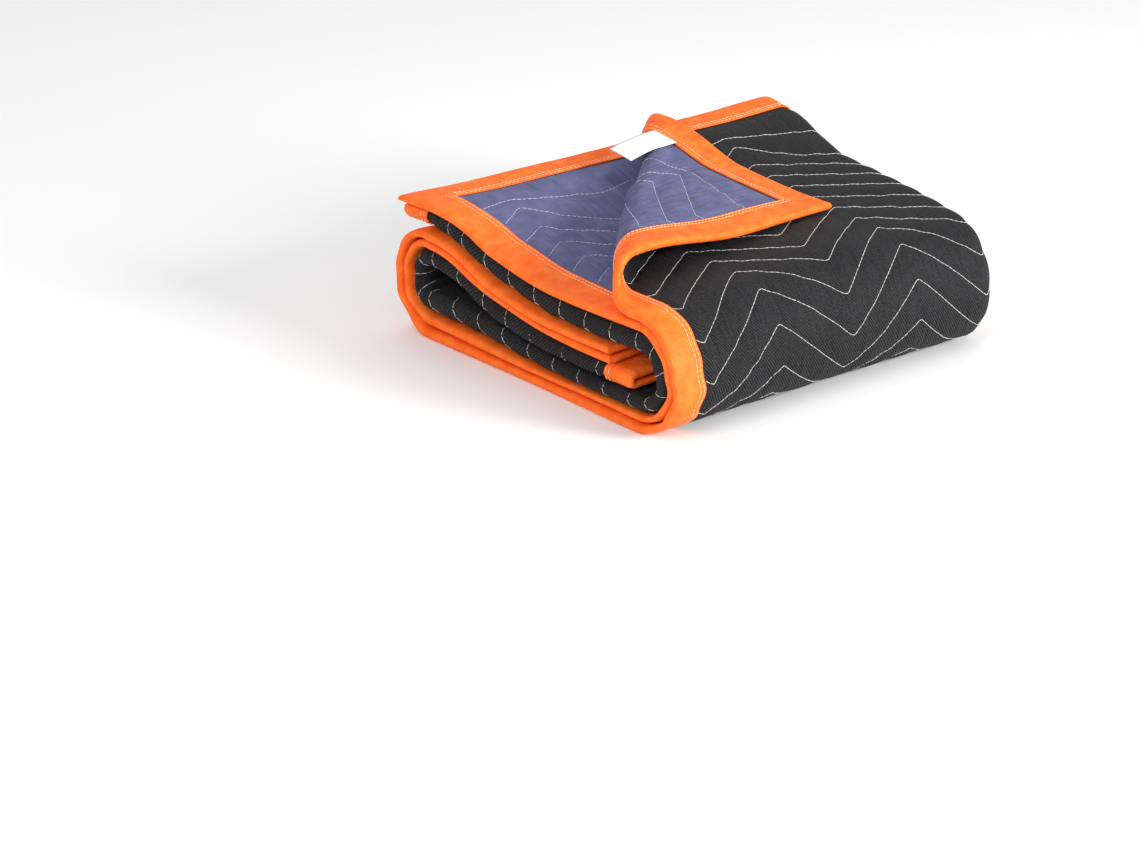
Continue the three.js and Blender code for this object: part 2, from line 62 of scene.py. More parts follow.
toward = Vector(
    (
        math.sin(AZIMUTH) * math.cos(ELEVATION),
        -math.cos(AZIMUTH) * math.cos(ELEVATION),
        math.sin(ELEVATION),
    )
)
ray = Vector(
    ((AIM_PX[0] - PICTURE[0] / 2) / FOCAL_PX, (PICTURE[1] / 2 - AIM_PX[1]) / FOCAL_PX, -1.0)
)
looking = (-toward).to_track_quat("-Z", "Y") @ ray.rotation_difference(Vector((0, 0, -1)))

lens = bpy.data.cameras.new("camera")
lens.sensor_width = 36.0
lens.lens = FOCAL_PX / PICTURE[0] * lens.sensor_width
lens.clip_end = 50.0
camera = bpy.data.objects.new("camera", lens)
camera.location = AIM_POINT + toward * DISTANCE
camera.rotation_mode = "QUATERNION"
camera.rotation_quaternion = looking
bpy.context.scene.collection.objects.link(camera)
bpy.context.scene.camera = camera
print("lens", round(lens.lens, 1), "mm, camera at", [round(c, 3) for c in camera.location])

# %% [markdown]
# ## The sizes
# All lengths below are millimetres on the flat pad or across its layers, as a sewer would measure
# them. They are the same as the CAD model's, so the cloth lies where the solids are.

# %% Sizes of the pad and of its folds
SHEET_WIDTH, SHEET_LENGTH = 1829.0, 1372.0  # folded in four, and rolled in three
PITCH, HALF = 10.8, 4.3  # from layer to layer, and half the pad's thickness
PANEL_GAP, TAPE_GAP = 0.3, 0.6  # between the two cloths, and between them and the tape
BAND, BAND_CLOTH, NOSE = 40.0, 1.6, 2.6  # the tape's width, its thickness, and that at the edge
SEAM_DEPTH, SEAM_PITCH = 1.7, 40.0  # how far a row draws a cloth in, and from row to row
ZIG_LEG, ZIG_RISE, ZIG_START = 100.0, 75.0, 150.0  # one leg of the zigzag, and its first corner
TAB_STEP = 27.0  # how far the outer layers end short of the inner ones at the rolled-in edge

FAR_RADIUS, NEAR_RADIUS = 1.5 * PITCH, 0.5 * PITCH
EDGE_STEP, FOLD_GAP = 2.0, 2.0  # from one open edge to the other, and on to the inner fold
NEAR_FOLD_X = EDGE_STEP + FOLD_GAP + NEAR_RADIUS + HALF
FAR_ARC, NEAR_ARC = math.pi * FAR_RADIUS, math.pi * NEAR_RADIUS
FAR_FOLD_X = (SHEET_WIDTH + 2 * NEAR_FOLD_X + EDGE_STEP - FAR_ARC - 2 * NEAR_ARC) / 4
STRAIGHT = FAR_FOLD_X - NEAR_FOLD_X
LAST_QUARTER = SHEET_WIDTH - (FAR_FOLD_X - EDGE_STEP)
WIDTH = FAR_FOLD_X + FAR_RADIUS + HALF

OUTER_LAYER, STRIP = 3.5 * PITCH, 4 * PITCH
ROLL_GAP = 2.0  # spare height round the middle run
RIGHT_INNER, LEFT_INNER = (STRIP + ROLL_GAP) / 2, 10.0  # radii inside the two curls
HUMP_RISE, BULB = 2 * LEFT_INNER - 2, 110.0  # the left curl's fullness, and how far it runs
S_EDGE_SETBACK = 10.0  # from the left curl's outside to the top edge
ROLLED_IN_GAP = 10.0  # from the right curl's middle to the rolled-in edge
RIGHT_ARC = math.pi * (RIGHT_INNER + OUTER_LAYER)
LEFT_ARC = math.pi * (LEFT_INNER + OUTER_LAYER)
LEFT_REACH = LEFT_INNER + STRIP - S_EDGE_SETBACK
RUN = (SHEET_LENGTH - RIGHT_ARC - LEFT_ARC - LEFT_REACH + ROLLED_IN_GAP) / 3
DEPTH = RUN + RIGHT_INNER + LEFT_INNER + 2 * (OUTER_LAYER + HALF)
RIGHT_Y = RIGHT_INNER + OUTER_LAYER + HALF - DEPTH / 2
LEFT_Y = RIGHT_Y + RUN
TOP_RUN = RUN + LEFT_REACH
BASE_Z = OUTER_LAYER + HALF
FAN = 0.1  # how much longer or shorter the strip is at the two curls
LONGEST = WIDTH * (1 + FAN * (1 - 2 * (S_EDGE_SETBACK + HALF) / DEPTH))
print("folded pad", round(LONGEST, 1), "by", round(DEPTH, 1), "mm, run", round(RUN, 1))

# %% [markdown]
# The turned-back corner is a loose cone: tight at the pad's top edge and wide at its open end, as
# cloth rolls when a corner is lifted and laid over. Past the cone it is a flat triangle that sinks
# until it rests on the layer below.

# %% Sizes of the turned-back corner
FLAP_X, FLAP_W = 318.0, 383.0  # where the turn meets the top edge and the open end
TURN_RADIUS_TOP, TURN_RADIUS_END = 9.0, 19.0
FLAP_REST, FLAP_DROOP = 10.6, 175.0  # its height at rest, and the way over which it sinks
TURN = math.hypot(FLAP_X, FLAP_W)
TURN_DIR = (-FLAP_X / TURN, FLAP_W / TURN)
TURN_OUT = (FLAP_W / TURN, FLAP_X / TURN)
CONE_SLOPE = (TURN_RADIUS_END - TURN_RADIUS_TOP) / TURN
CONE = math.asin(CONE_SLOPE)
CONE_START = TURN_RADIUS_TOP / CONE_SLOPE
APEX = (FLAP_X - CONE_START * TURN_DIR[0], -CONE_START * TURN_DIR[1])
CONE_ANGLE = math.pi * CONE_SLOPE
EDGE = NOSE + TAPE_GAP  # from the pad's edge to the cloths' edge
BAND_END, FULL = BAND + 1.5, BAND + 10.0  # where the cloths start to fill out, and are full
SQUASHED = HALF - BAND_CLOTH - TAPE_GAP  # half the pad's thickness under the tape
print("turned corner's roll is", TURN_RADIUS_TOP, "to", TURN_RADIUS_END, "mm in radius")

# %% [markdown]
# ## Folding cloth with numbers
# A cloth simulation could fold the pad, but its twelve layers lie only about two millimetres
# apart and would easily tangle. Here a formula folds it: a point of the flat pad is placed first
# in the strip of four layers, then in the roll, and every cloth, tape and stitch goes the same way.

# %% Fold in four
def smooth(x):
    k = np.clip(x, 0.0, 1.0)
    return k * k * (3 - 2 * k)


def across_strip(u):
    """Place along the folded strip and height through its four layers."""
    ends = np.cumsum([FAR_FOLD_X, FAR_ARC, STRAIGHT, NEAR_ARC, STRAIGHT, NEAR_ARC])
    far, back, near, forth, inner, last = (u - e for e in ends)
    where = [u <= e for e in ends]
    x = np.select(
        where,
        [
            u,
            FAR_FOLD_X + FAR_RADIUS * np.sin(far / FAR_RADIUS),
            FAR_FOLD_X - back,
            NEAR_FOLD_X - NEAR_RADIUS * np.sin(near / NEAR_RADIUS),
            NEAR_FOLD_X + forth,
            FAR_FOLD_X + NEAR_RADIUS * np.sin(inner / NEAR_RADIUS),
        ],
        FAR_FOLD_X - last,
    )
    n = np.select(
        where,
        [
            np.full_like(u, OUTER_LAYER),
            2 * PITCH + FAR_RADIUS * np.cos(far / FAR_RADIUS),
            np.full_like(u, 0.5 * PITCH),
            PITCH - NEAR_RADIUS * np.cos(near / NEAR_RADIUS),
            np.full_like(u, 1.5 * PITCH),
            2 * PITCH - NEAR_RADIUS * np.cos(inner / NEAR_RADIUS),
        ],
        2.5 * PITCH,
    )
    return x, n


print("outer fold begins", round(FAR_FOLD_X, 1), "mm from the pad's edge")


# %% Turn the corner back
def turn_back(x, w):
    dx, dw = x - APEX[0], w - APEX[1]
    along = dx * TURN_DIR[0] + dw * TURN_DIR[1]
    to_corner = -(dx * TURN_OUT[0] + dw * TURN_OUT[1])
    reach = np.hypot(along, to_corner)
    angle = np.arctan2(to_corner, along)
    lap = np.pi * np.clip(angle, 0, CONE_ANGLE) / CONE_ANGLE
    sine, cosine = math.sin(CONE), math.cos(CONE)
    rolled = (
        reach * (cosine**2 + sine**2 * np.cos(lap)),
        -reach * sine * np.sin(lap),
        reach * sine * cosine * (1 - np.cos(lap)),
    )
    rest = angle - CONE_ANGLE
    out = reach * np.sin(rest)
    lift = reach * np.cos(rest) * math.sin(2 * CONE)
    laid = (
        reach * np.cos(rest) * math.cos(2 * CONE),
        out,
        FLAP_REST + (lift - FLAP_REST) * (1 - smooth(out / FLAP_DROOP)),
    )
    on_cone = angle < CONE_ANGLE
    run, out, up = (np.where(on_cone, a, b) for a, b in zip(rolled, laid))
    turned = to_corner > 0
    tx = APEX[0] + run * TURN_DIR[0] + out * TURN_OUT[0]
    tw = APEX[1] + run * TURN_DIR[1] + out * TURN_OUT[1]
    return np.where(turned, tx, x), np.where(turned, tw, w), np.where(turned, up, 0.0)


# %% Roll in three
def hump(y, low):
    k = np.clip((y - LEFT_Y + BULB) / BULB, 0, 1)
    slope = HUMP_RISE * 6 * k * (1 - k) / BULB
    size = np.hypot(1, slope)
    return y, BASE_Z + low + HUMP_RISE * smooth(k), -slope / size, 1 / size


def curl(y, z, radius, ny, nz):
    return y + radius * ny, z + radius * nz, ny, nz


def along_roll(w):
    """The strip's inner side at a distance w along the roll: y, z and its outward normal."""
    right = np.pi * (w - TOP_RUN) / RIGHT_ARC
    left = np.pi * (w - TOP_RUN - RIGHT_ARC - RUN) / LEFT_ARC
    flat = np.zeros_like(w)
    parts = [
        hump(LEFT_Y + LEFT_REACH - w, 2 * RIGHT_INNER),
        curl(RIGHT_Y, BASE_Z + RIGHT_INNER, RIGHT_INNER, -np.sin(right), np.cos(right)),
        (RIGHT_Y + w - TOP_RUN - RIGHT_ARC, flat + BASE_Z, flat, flat - 1),
        curl(LEFT_Y, BASE_Z + LEFT_INNER, LEFT_INNER, np.sin(left), -np.cos(left)),
        hump(LEFT_Y - (w - TOP_RUN - RIGHT_ARC - RUN - LEFT_ARC), ROLL_GAP / 2),
    ]
    ends = np.cumsum([TOP_RUN, RIGHT_ARC, RUN, LEFT_ARC])
    where = [w <= e for e in ends]
    return [np.select(where, [p[i] for p in parts[:4]], parts[4][i]) for i in range(4)]


# %% [markdown]
# Real layers are never quite level. A few long waves, the same for all layers at one place, lift
# and lower the whole stack, most of all at its open end, and leave the underside flat. At the open
# end the inner layers also slump towards the smooth curl, and slide out by unequal amounts.

# %% Waves and slump of the stack
WAVE, SIDE_WAVE, SLUMP, SLIDE = 2.6, 1.6, 7.5, 2.2  # the greatest shifts, in mm
OPEN_END_WAVE = 0.9  # how much more the stack waves at its open end
LEVEL = 80.0  # the height at which the waves reach their full size
TOP = 168.0


def ripple(a, b, lengths, seed):
    """A sum of soft waves over a plane, one for each length, in seeded directions."""
    chosen = np.random.default_rng(seed)
    total = 0.0
    for length in lengths:
        turn, phase = chosen.uniform(0, 2 * np.pi, 2)
        total = total + np.sin(
            2 * np.pi * (a * np.cos(turn) + b * np.sin(turn)) / length + phase
        )
    return total / len(lengths)


def settle(p):
    x, y, z = p[..., 0], p[..., 1], p[..., 2]
    lift = smooth(z / LEVEL)
    near_end = 1.0 + OPEN_END_WAVE * smooth((-150.0 - x) / 100.0)
    high = WAVE * near_end * ripple(x, y, (330.0, 210.0, 160.0), 5)
    side = SIDE_WAVE * smooth(z / 40.0) * ripple(x, z + 300.0, (240.0, 170.0), 8)
    inner = smooth(z / 55.0) * smooth((TOP - z) / 60.0)
    slump = SLUMP * smooth((-20.0 - x) / 190.0) * inner * (2 * smooth((y + 30.0) / 170.0) - 1)
    slide = SLIDE * smooth((-130.0 - x) / 90.0) * ripple(y, 4 * z, (190.0, 120.0), 12)
    return np.stack([x + slide, y + side, z + lift * high + slump], -1)


def fanned(p):
    """The outer folds aren't square to the roll: the strip is longest at the left curl."""
    x = p[..., 0] * (1 + 2 * FAN * p[..., 1] / DEPTH) - LONGEST / 2
    return np.stack([x, p[..., 1], p[..., 2]], -1)


print("the strip is", round(200 * FAN), "% longer at one curl than at the other, of its mean")


# %% The whole way from the flat pad to the folded one
def middle(u, v):
    x, n = across_strip(u)
    ends = TAB_STEP * smooth(n / PITCH - 1.5) * (v / SHEET_LENGTH) ** 2
    tx, tw, up = turn_back(x, v)
    first = u < FAR_FOLD_X
    tx, tw, up = np.where(first, tx, x), np.where(first, tw, v), np.where(first, up, 0.0)
    y, z, ny, nz = along_roll(tw - ends)
    n = n + up
    return np.stack([tx, y + n * ny, z + n * nz], -1)


def side_up(u, v):
    """The unit normal on the face cloth's side."""
    h = 0.05
    du = middle(u + h, v) - middle(u - h, v)
    dv = middle(u, v + h) - middle(u, v - h)
    n = np.cross(dv, du)
    return n / np.linalg.norm(n, axis=-1, keepdims=True)


def on_pad(u, v, t):
    """Points in metres at heights t above the pad's middle."""
    u, v, t = np.broadcast_arrays(*(np.asarray(q, float) for q in (u, v, t)))
    return settle(fanned(middle(u, v) + side_up(u, v) * t[..., None])) / 1000.0


# %% [markdown]
# The main creases are given one by one, each as a soft trough from one point of the flat pad to
# another. On the face cloth they run from the turned corner over the curl, and on the lining they
# spread from the turn.

# %% Main creases
CREASE_BOW, CREASE_END = 4.0, 25.0  # how far a crease bows, and how slowly its ends fade
FACE_CREASES = [
    # u and v at its start, u and v at its end, half its width, its depth, all in mm
    (48, 405, 120, 452, 5.5, 1.5),
    (52, 430, 150, 500, 6.0, 1.3),
    (60, 470, 130, 545, 5.0, 1.2),
    (110, 392, 205, 425, 7.0, 1.3),
    (170, 455, 235, 520, 6.0, 1.0),
    (250, 380, 330, 430, 8.0, 1.1),
    (330, 250, 420, 300, 8.0, 1.0),
    (350, 90, 425, 130, 8.0, 1.1),
    (380, 170, 440, 215, 7.0, 0.9),
    (290, 505, 380, 540, 7.0, 0.9),
]
LINING_CREASES = [
    (70, 270, 190, 150, 6.0, 1.4),
    (60, 310, 120, 235, 5.5, 1.3),
    (130, 225, 215, 115, 6.0, 1.2),
    (90, 190, 150, 95, 6.0, 1.1),
    (215, 90, 262, 62, 5.5, 1.2),
    (1700, 90, 1765, 165, 7.0, 1.2),
    (1640, 130, 1720, 215, 8.0, 1.1),
    (1560, 85, 1625, 150, 7.0, 1.0),
    (1735, 230, 1780, 300, 6.0, 1.0),
]


def troughs(u, v, creases):
    total = np.zeros(np.broadcast(u, v).shape)
    for u0, v0, u1, v1, wide, deep in creases:
        du, dv = u1 - u0, v1 - v0
        size = math.hypot(du, dv)
        along = ((u - u0) * du + (v - v0) * dv) / size
        bow = CREASE_BOW * np.sin(np.pi * along / size)
        off = ((u - u0) * dv - (v - v0) * du) / size + bow
        ends = smooth((along + wide) / CREASE_END) * smooth((size + wide - along) / CREASE_END)
        total = total + deep * ends * np.exp(-((off / wide) ** 2))
    return total


print("creases:", len(FACE_CREASES), "on the face cloth,", len(LINING_CREASES), "on the lining")


# %% [markdown]
# ## The quilting
# The machine stitches zigzag rows 40 mm apart. Each row pulls both cloths into the wadding, so the
# pad is thin at a row and full between rows, and gathers the cloth beside it. The rows straighten
# towards the top edge and the rolled-in edge.

# %% Quilting rows
QUILTED_END = TOP_RUN + RIGHT_ARC  # the last row that shows
ROW_FADE = 80.0  # the distance over which the rows straighten
GATHER, UNEVEN = 0.6, 0.3  # the gathers beside a row, and the wadding's own unevenness


def zigzag(u):
    leg = np.mod((u - ZIG_START) / ZIG_LEG, 2)
    return ZIG_RISE * (np.where(leg < 1, leg, 2 - leg) - 0.5)


def fade(row):
    return smooth((row - FULL) / ROW_FADE) * smooth((SHEET_LENGTH - FULL - row) / ROW_FADE)


def row_height(u, row):
    return row + zigzag(u) * fade(row)


def half_thickness(u, v, row, creases):
    """Half the pad's thickness: squashed under the tape, drawn in and gathered at each row."""
    edge = np.minimum(np.minimum(u, SHEET_WIDTH - u), np.minimum(v, SHEET_LENGTH - v))
    full = smooth((edge - BAND_END) / (FULL - BAND_END))
    arch = np.abs(np.sin(np.pi * row / SEAM_PITCH)) ** 0.8
    gather = GATHER * (1.15 - arch) * ripple(u, row * 0.15, (16.0, 21.0, 29.0), 6)
    puff = HALF - SEAM_DEPTH * (1 - arch) + UNEVEN * ripple(u, row, (55.0, 83.0, 37.0), 3)
    return SQUASHED + (puff + gather - troughs(u, v, creases) - SQUASHED) * full


print("rows of stitches", SEAM_PITCH, "mm apart, shown as far as", round(QUILTED_END, 1), "mm")


# %% [markdown]
# The two cloths share one grid of points. Its lines follow the rows of stitches. They are close
# together where the cloth shows, bends or lies under the tape, and far apart where it lies flat
# inside the roll.

# %% Grid of the cloths
def steps(start, end, size):
    return list(np.linspace(start, end, max(2, int(round((end - start) / size)) + 1)))


def merged(*runs):
    return np.array(sorted({round(value, 4) for run in runs for value in run}))


UNDER_TAPE = [EDGE, 8.0, 14.0, 20.0, 26.0, 32.0, 37.0, BAND_END, 45.0]
FAR_TAPE = [EDGE, 20.0, BAND_END, 45.0]  # on the edges that hardly show
ROW_OFFSETS = (-14.0, -8.0, -3.0, 0.0, 3.0, 8.0, 14.0, 20.0)  # lines beside each row


def cloth_columns():
    near = FAR_FOLD_X + FAR_ARC + STRAIGHT
    inner = near + NEAR_ARC + STRAIGHT
    return merged(
        UNDER_TAPE,
        steps(FULL, FAR_FOLD_X, 5.6),
        steps(FAR_FOLD_X, FAR_FOLD_X + FAR_ARC, 5.1),
        steps(FAR_FOLD_X + FAR_ARC, near, 80.0),
        steps(near - 14, near + NEAR_ARC + 14, 2.8),
        steps(near + NEAR_ARC, inner, 80.0),
        steps(inner, inner + NEAR_ARC, 3.0),
        steps(inner + NEAR_ARC, LAST_QUARTER + 60, 30.0),
        steps(LAST_QUARTER + 60, SHEET_WIDTH - FULL, 9.0),
        [SHEET_WIDTH - e for e in FAR_TAPE],
    )


def cloth_rows():
    count = int(QUILTED_END // SEAM_PITCH)
    quilted = [k * SEAM_PITCH + o for k in range(1, count + 1) for o in ROW_OFFSETS]
    shown = [r for r in quilted if FULL + 2 < r < QUILTED_END - 2]
    late = TOP_RUN + RIGHT_ARC + RUN
    return merged(
        UNDER_TAPE,
        [FULL],
        shown,
        steps(QUILTED_END, late, 10.0),
        steps(late, late + LEFT_ARC, 5.0),
        steps(late + LEFT_ARC, late + LEFT_ARC + BULB, 10.0),
        steps(late + LEFT_ARC + BULB, SHEET_LENGTH - FULL, 13.0),
        [SHEET_LENGTH - e for e in FAR_TAPE],
    )


columns, rows = cloth_columns(), cloth_rows()
grid_u, grid_row = np.meshgrid(columns, rows, indexing="ij")
grid_v = row_height(grid_u, grid_row)
face_half = half_thickness(grid_u, grid_v, grid_row, FACE_CREASES)
lining_half = half_thickness(grid_u, grid_v, grid_row, LINING_CREASES)
print("cloth grid", grid_u.shape, "of", grid_u.size, "points")

# %% [markdown]
# ## Making a closed mesh
# Each cloth is a closed skin with a true thickness, so that it casts shadows and exports well. A
# small helper takes its points and faces, turns the faces outward and stores, with each point,
# its place on the flat pad in millimetres. The materials read it, so a weave follows the folds.

# %% Helpers for meshes
def signed_volume(points, faces):
    total = 0.0
    for size in {len(f) for f in faces}:
        ring = np.array([f for f in faces if len(f) == size])
        a = points[ring[:, 0]]
        for k in range(1, size - 1):
            b, c = points[ring[:, k]], points[ring[:, k + 1]]
            total += float(np.einsum("ij,ij->", a, np.cross(b, c))) / 6
    return total


def sewn_mesh(name, points, faces, flat_mm, quilt_mm=None):
    points = np.asarray(points, float).reshape(-1, 3)
    if signed_volume(points, faces) < 0:
        faces = [tuple(reversed(f)) for f in faces]
    mesh = bpy.data.meshes.new(name)
    mesh.from_pydata(points.tolist(), [], [tuple(map(int, f)) for f in faces])
    mesh.polygons.foreach_set("use_smooth", [True] * len(mesh.polygons))
    for label, values in (("flat_mm", flat_mm), ("quilt_mm", quilt_mm)):
        if values is not None:
            stored = mesh.attributes.new(label, "FLOAT_VECTOR", "POINT")
            stored.data.foreach_set("vector", np.asarray(values, np.float32).ravel())
    piece = bpy.data.objects.new(name, mesh)
    bpy.context.scene.collection.objects.link(piece)
    return piece


def grid_faces(count_u, count_v, start, flip):
    ids = start + np.arange(count_u * count_v).reshape(count_u, count_v)
    quads = np.stack([ids[:-1, :-1], ids[:-1, 1:], ids[1:, 1:], ids[1:, :-1]], -1)
    quads = quads.reshape(-1, 4)
    return quads[:, ::-1] if flip else quads


def sheet_faces(count_u, count_v):
    """The faces of a closed sheet: its upper side, its lower side and the strip round its rim."""
    total = count_u * count_v
    ids = np.arange(total).reshape(count_u, count_v)
    ring = np.concatenate([ids[0, :-1], ids[:-1, -1], ids[-1, :0:-1], ids[:0:-1, 0]])
    after = np.roll(ring, -1)
    faces = [
        *grid_faces(count_u, count_v, 0, False),
        *grid_faces(count_u, count_v, total, True),
        *np.stack([after, ring, ring + total, after + total], -1),
    ]
    return [tuple(f) for f in faces]


def cloth_between(name, low, high):
    """A closed cloth over the whole grid, from one height to another."""
    points = np.concatenate([on_pad(grid_u, grid_v, h).reshape(-1, 3) for h in (high, low)])
    heights = [np.broadcast_to(h, grid_u.shape) for h in (high, low)]
    flat = np.concatenate([np.stack([grid_u, grid_v, h], -1).reshape(-1, 3) for h in heights])
    quilt = np.concatenate([np.stack([grid_u, grid_row, h], -1).reshape(-1, 3) for h in heights])
    return sewn_mesh(name, points, sheet_faces(*grid_u.shape), flat, quilt)


# %% [markdown]
# ## The two cloths
# The face cloth is the charcoal side, the lining the slate-blue side. Each takes its half of the
# pad's thickness with it, because the wadding can't be seen.

# %% Face cloth and lining
face_cloth = cloth_between("face_cloth", PANEL_GAP / 2, face_half)
lining_cloth = cloth_between("lining_cloth", -lining_half, -PANEL_GAP / 2)
for cloth in (face_cloth, lining_cloth):
    print(cloth.name, len(cloth.data.polygons), "faces")


# %% [markdown]
# ## The binding
# The tape is folded over the pad's raw edge and sewn through with two rows of stitches, and
# sewing a tape along a thick edge gathers it into small puckers. Each edge has its own tape, mitred
# at the corners. It is modelled as a section that is carried along the edge.

# %% Section of the tape
# Each point is its distance in from the pad's edge and its height above the pad's middle.
OUTER_HALF = [(40, 4.05), (39.2, 4.3), (36, 4.3), (33, 4.3), (29, 4.3), (24, 4.3), (18, 4.3)]
OUTER_HALF += [(12, 4.3), (7.5, 4.3), (4.4, 4.1), (2.4, 3.6), (1.1, 2.8), (0.3, 1.5)]
INNER_HALF = [(NOSE, HALF - BAND_CLOTH), (20, HALF - BAND_CLOTH), (BAND, HALF - BAND_CLOTH)]


def tape_section():
    outer = OUTER_HALF + [(0, 0)] + [(e, -t) for e, t in reversed(OUTER_HALF)]
    inner = [(e, -t) for e, t in reversed(INNER_HALF)] + INNER_HALF
    return np.array(outer + inner, float), len(outer)


SECTION, OUTER_COUNT = tape_section()
print("the tape's section has", len(SECTION), "points")


def pucker(s, e, seed):
    """Small gathers across the tape: strongest between the fold and the stitches."""
    wave = ripple(s, e * 0.25, (9.0, 13.0, 17.0, 31.0), seed)
    free = smooth(e / 9.0) * smooth((BAND - 2.0 - e) / 9.0)
    return 0.55 * wave * free + 0.25 * ripple(s, e * 0, (60.0, 95.0), seed + 1) * smooth(e / 4.0)


# %% Carry the section along an edge
CORNER_GAP = 0.25  # from a tape's mitred end to the corner's middle
STATION = 4.5  # from one section to the next
TO_MITRE = (0.0, 0.03, 0.3, 0.65)  # where the sections between the mitre and the first station lie


def tape(name, length, place, seed):
    """place turns a distance along the edge and one in from it into a point of the flat pad."""
    along = merged(steps(BAND_END, length - BAND_END, STATION))
    e, t = SECTION[:, 0], SECTION[:, 1]
    mitre = e + CORNER_GAP
    start = np.array([mitre + (along[0] - mitre) * k for k in TO_MITRE])
    s = np.concatenate([start, np.repeat(along[:, None], len(e), 1), (length - start)[::-1]])
    e, t = np.broadcast_arrays(e, s)[0], np.broadcast_arrays(t, s)[0]
    outer = np.arange(len(SECTION)) < OUTER_COUNT
    t = t + np.sign(t) * np.where(outer, pucker(s, e, seed), 0.0)
    points = on_pad(*place(s, e), t)
    count, size = s.shape
    ids = np.arange(count * size).reshape(count, size)
    after = np.roll(ids, -1, 1)
    sides = np.stack([ids[:-1], after[:-1], after[1:], ids[1:]], -1).reshape(-1, 4)
    caps = [tuple(ids[0][::-1]), tuple(ids[-1])]
    flat = np.stack([s, e, t], -1).reshape(-1, 3)
    return sewn_mesh(name, points, [tuple(f) for f in sides] + caps, flat)


EDGES = {
    # the edge's length, its (s, e) as a point of the flat pad, and its seed
    "tape_top_edge": (SHEET_WIDTH, lambda s, e: (s, e), 21),
    "tape_rolled_in_edge": (SHEET_WIDTH, lambda s, e: (s, SHEET_LENGTH - e), 31),
    "tape_first_edge": (SHEET_LENGTH, lambda s, e: (e, s), 41),
    "tape_second_edge": (SHEET_LENGTH, lambda s, e: (SHEET_WIDTH - e, s), 51),
}
tapes = {name: tape(name, *given) for name, given in EDGES.items()}
for piece in tapes.values():
    print(piece.name, len(piece.data.polygons), "faces")


# %% [markdown]
# ## The stitches
# One stitch is modelled: a short thread that is thick in the middle and closes to a point
# at both ends, where it goes into the cloth. It is then copied along every row that shows. The
# thread is drawn 0.7 to 0.8 mm thick, more than real thread, or it would vanish at this distance.

# %% One stitch
bpy.ops.object.select_all(action="DESELECT")
bpy.ops.mesh.primitive_uv_sphere_add(segments=6, ring_count=4, radius=0.5, location=(0, 0, 0))
stitch = bpy.context.object
stitch.name = "one_stitch"
bpy.ops.object.mode_set(mode="EDIT")
bpy.ops.mesh.select_all(action="SELECT")
bpy.ops.transform.rotate(value=math.pi / 2, orient_axis="Y", center_override=(0, 0, 0))
bpy.ops.object.mode_set(mode="OBJECT")
ball = np.array([v.co for v in stitch.data.vertices])
along = 0.5 * np.sign(ball[:, :1]) * np.abs(2 * ball[:, :1]) ** 0.6  # fuller towards its ends
around = np.where(np.abs(ball[:, :1]) > 0.2, 1.2, 1.0) * ball[:, 1:]
STITCH_POINTS = np.hstack([along, around])
STITCH_FACES = [tuple(p.vertices) for p in stitch.data.polygons]
bpy.data.objects.remove(stitch)
print("one stitch has", len(STITCH_FACES), "faces")


# %% Copy the stitch along lines on the pad
def along_line(u, v, length, gap):
    """Cuts a line on the flat pad into stitches: each one's start and end."""
    far = np.concatenate([[0], np.cumsum(np.hypot(np.diff(u), np.diff(v)))])
    starts = np.arange(gap, far[-1] - length, length + gap)
    return [(np.interp(at, far, u), np.interp(at, far, v)) for at in (starts, starts + length)]


def sew(name, lines, thick, sunk):
    """lines holds (u, v, height, length, gap); the stitches become one piece."""
    points, faces, flat = [], [], []
    count = 0
    for u, v, height, length, gap in lines:
        (u0, v0), (u1, v1) = along_line(u, v, length, gap)
        if len(u0) == 0:
            continue
        um, vm = (u0 + u1) / 2, (v0 + v1) / 2
        tall = height(um, vm)
        a, b = on_pad(u0, v0, height(u0, v0)), on_pad(u1, v1, height(u1, v1))
        up = side_up(um, vm) * np.sign(tall)[:, None]
        middle_of = on_pad(um, vm, tall) - up * sunk / 1000
        forth = b - a
        size = np.linalg.norm(forth, axis=1, keepdims=True)
        forth = forth / size
        across = np.cross(up, forth)
        across /= np.linalg.norm(across, axis=1, keepdims=True)
        up = np.cross(forth, across)
        local = STITCH_POINTS[None]
        made = (
            middle_of[:, None]
            + forth[:, None] * local[..., 0:1] * size[:, None]
            + across[:, None] * local[..., 1:2] * thick / 1000
            + up[:, None] * local[..., 2:3] * thick / 1000
        )
        for _ in made:
            faces += [tuple(count + i for i in f) for f in STITCH_FACES]
            count += len(STITCH_POINTS)
        points.append(made.reshape(-1, 3))
        flat.append(np.repeat(np.stack([um, vm, tall], -1), len(STITCH_POINTS), 0))
    piece = sewn_mesh(name, np.concatenate(points), faces, np.concatenate(flat))
    print(name, count // len(STITCH_POINTS), "stitches,", len(piece.data.polygons), "faces")
    return piece


# %% Rows of the quilting
FACE_STITCH, LINING_STITCH = (5.6, 0.1), (4.9, 0.7)  # a stitch's length and the gap after it
QUILTING_THICK, QUILTING_LIFT = 0.7, 0.2  # the thread's thickness and its height on the cloth


def row_line(row, start, end):
    u = merged(steps(start, end, 4.0), [ZIG_START + k * ZIG_LEG for k in range(19)])
    u = u[(u >= start) & (u <= end)]
    return u, row_height(u, np.full_like(u, row))


def at_row(row, side):
    creases = FACE_CREASES if side > 0 else LINING_CREASES
    return lambda u, v: side * (
        half_thickness(u, v, np.full_like(u, row), creases) + QUILTING_LIFT
    )


